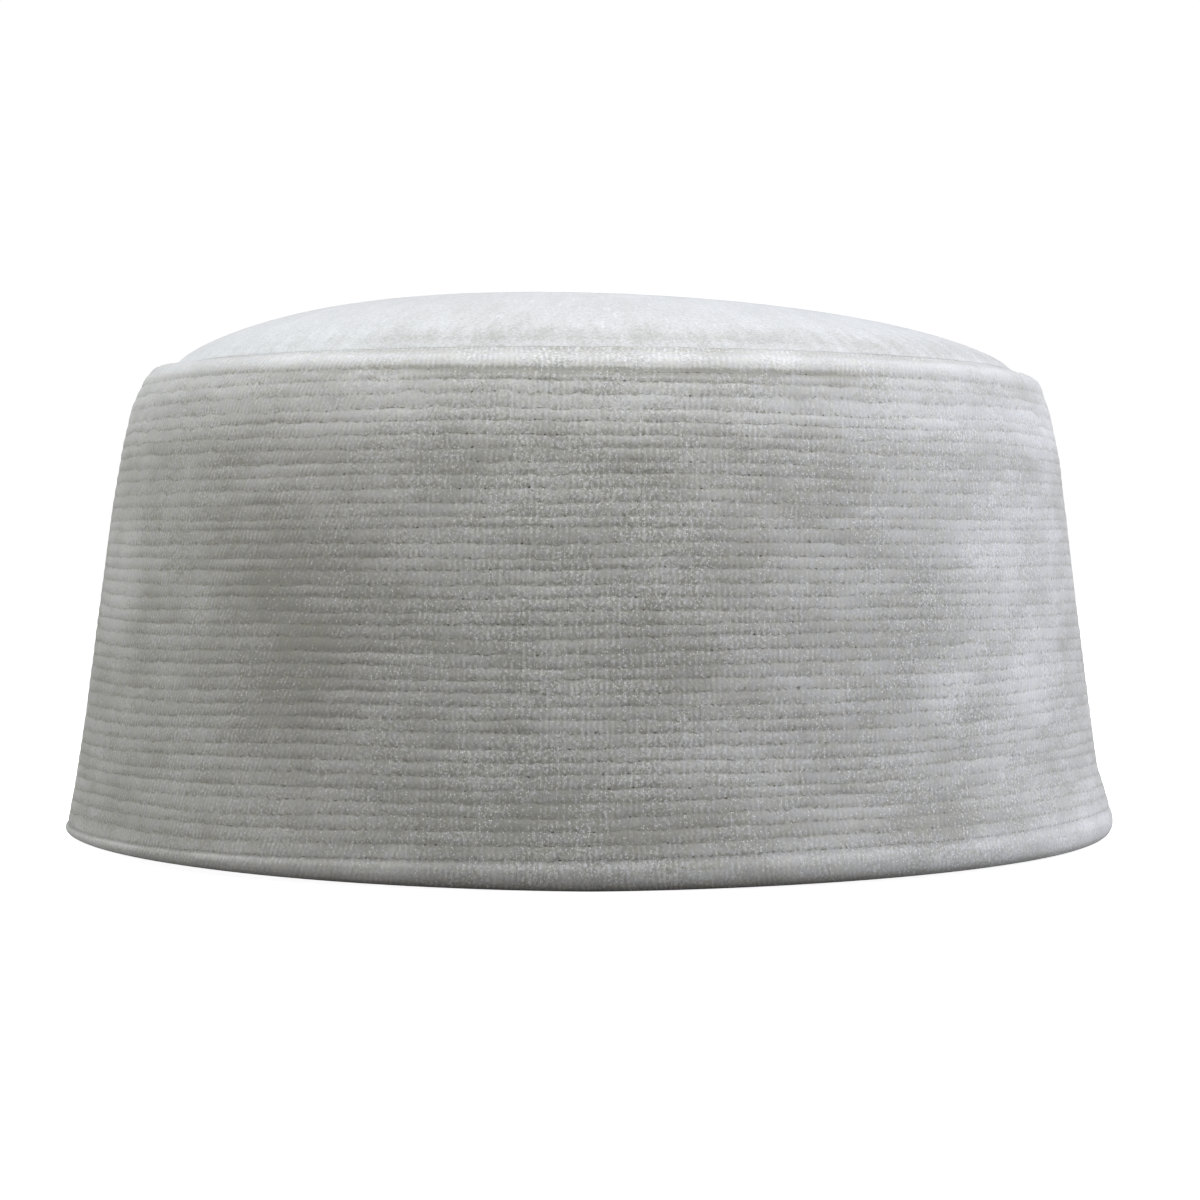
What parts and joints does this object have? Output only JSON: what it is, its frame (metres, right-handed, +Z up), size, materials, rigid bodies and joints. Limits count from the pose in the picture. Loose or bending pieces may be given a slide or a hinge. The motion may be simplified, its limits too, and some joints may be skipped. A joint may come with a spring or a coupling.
{
  "type": "kufi",
  "caption": "Brimless round cap: a tall, tapering, closely ribbed side band with a rolled hem and a low domed crown, hollow and open below.",
  "frame": {"origin": "centre of the rim, on the surface that the cap stands on", "axes": "+Z up from the rim towards the crown, -Y towards the front of the cap, +X to the right as the front is looked at"},
  "size_m": [0.1898, 0.2082, 0.0978],
  "materials": {
    "velvet_band": "white cotton velour, padded and stitched in close ribs, with a plain rolled hem and shoulder",
    "velvet_crown": "white cotton velour, plain and softly brushed"
  },
  "bodies": {
    "root": {"side_band": "velvet_band", "crown_panel": "velvet_crown"}
  },
  "joints": []
}
